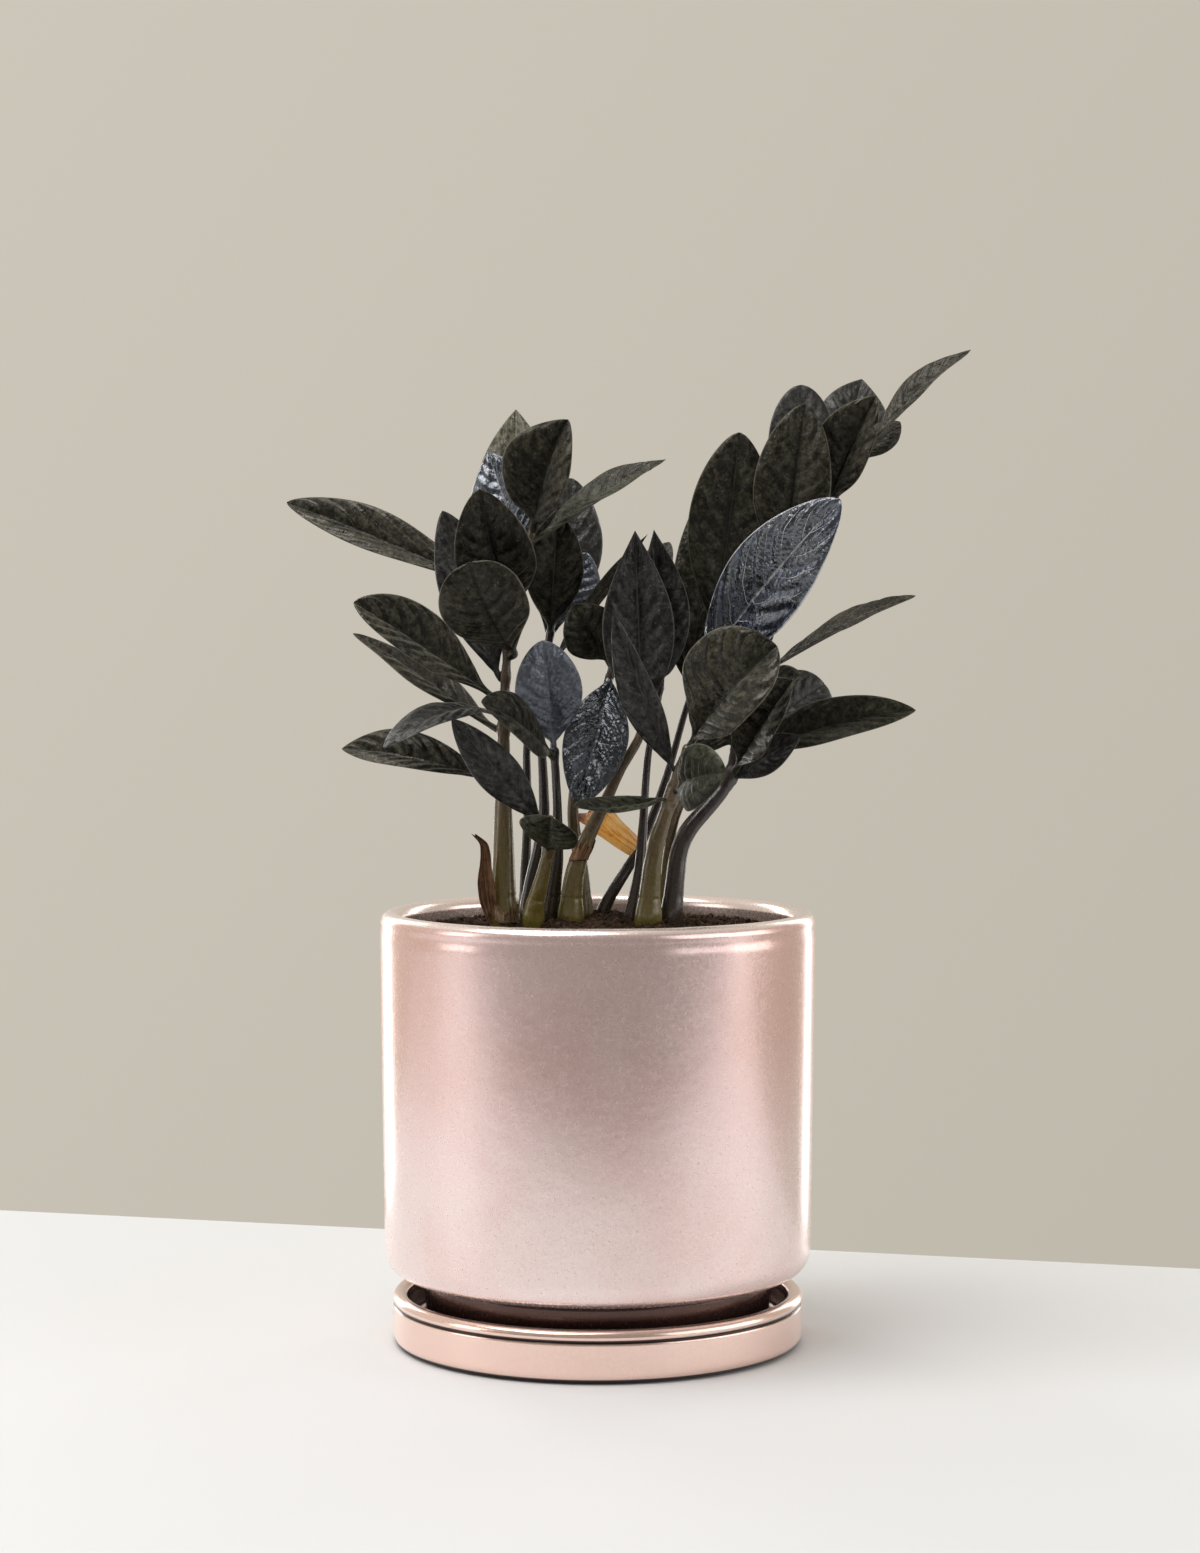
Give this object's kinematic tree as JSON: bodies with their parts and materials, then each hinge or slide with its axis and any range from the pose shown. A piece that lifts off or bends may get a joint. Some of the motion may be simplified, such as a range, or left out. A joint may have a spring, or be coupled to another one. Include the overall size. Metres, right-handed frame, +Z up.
{
  "type": "potted zz plant",
  "caption": "Young black-leaved ZZ plant growing in soil in a glazed cylinder pot with a drain hole, standing in a matching saucer.",
  "frame": {"origin": "centre of the saucer's flat base", "axes": "+Z up along the pot's axis, +X to the right and -Y towards the viewer in the front view"},
  "size_m": [0.2056, 0.13, 0.2974],
  "materials": {
    "pot_glaze": "pearly rose metallic glaze with a fine speckle, satin gloss",
    "saucer_glaze": "glossy rose metallic glaze",
    "soil": "moist dark peat with bark chips and pale fibres, rough",
    "rhizome": "matt tan skin of a potato-like tuber",
    "stem_green": "smooth fleshy stalk, grey olive to yellow green, satin",
    "stem_dark": "smooth purple-black stalk with pale flecks, satin",
    "leaf_black": "waxy near-black leaf, satin, with pressed veins",
    "dried_husk": "dry brown fibrous leaf sheath, matt"
  },
  "bodies": {
    "root": {"pot": "pot_glaze", "saucer": "saucer_glaze", "soil": "soil", "rhizome": "rhizome", "husk_left": "dried_husk", "husk_centre": "dried_husk", "husk_ring": "dried_husk", "stem_left": "stem_green", "stem_back": "stem_dark", "stem_inner": "stem_dark", "stem_front": "stem_green", "stem_centre": "stem_green", "stem_leaning": "stem_green", "stem_slim": "stem_dark", "stem_purple": "stem_dark", "stem_thick": "stem_green", "stem_olive": "stem_green", "stem_right": "stem_dark", "leaf_left_top_far": "leaf_black", "leaf_left_upright": "leaf_black", "leaf_left_facing": "leaf_black", "leaf_left_round": "leaf_black", "leaf_left_middle": "leaf_black", "leaf_left_middle_back": "leaf_black", "leaf_left_arching": "leaf_black", "leaf_left_low": "leaf_black", "leaf_crown_back": "leaf_black", "leaf_crown_bright": "leaf_black", "leaf_crown_front": "leaf_black", "leaf_crown_right": "leaf_black", "leaf_front_dark": "leaf_black", "leaf_front_small": "leaf_black", "leaf_inner_left": "leaf_black", "leaf_inner_round": "leaf_black", "leaf_back_high": "leaf_black", "leaf_back_blue": "leaf_black", "leaf_back_narrow": "leaf_black", "leaf_centre_brown": "leaf_black", "leaf_centre_hanging": "leaf_black", "leaf_centre_back": "leaf_black", "leaf_leaning_tall": "leaf_black", "leaf_purple_tall": "leaf_black", "leaf_thick_tall": "leaf_black", "leaf_thick_broad": "leaf_black", "leaf_thick_curled": "leaf_black", "leaf_thick_narrow": "leaf_black", "leaf_slim_front": "leaf_black", "leaf_slim_back": "leaf_black", "leaf_slim_glossy": "leaf_black", "leaf_right_tall": "leaf_black", "leaf_right_tall_back": "leaf_black", "leaf_right_high_back": "leaf_black", "leaf_right_high": "leaf_black", "leaf_right_end": "leaf_black", "leaf_right_narrow": "leaf_black", "leaf_right_long": "leaf_black", "leaf_right_square": "leaf_black", "leaf_right_pale": "leaf_black", "leaf_right_edge_on": "leaf_black", "leaf_right_short": "leaf_black"}
  },
  "joints": []
}
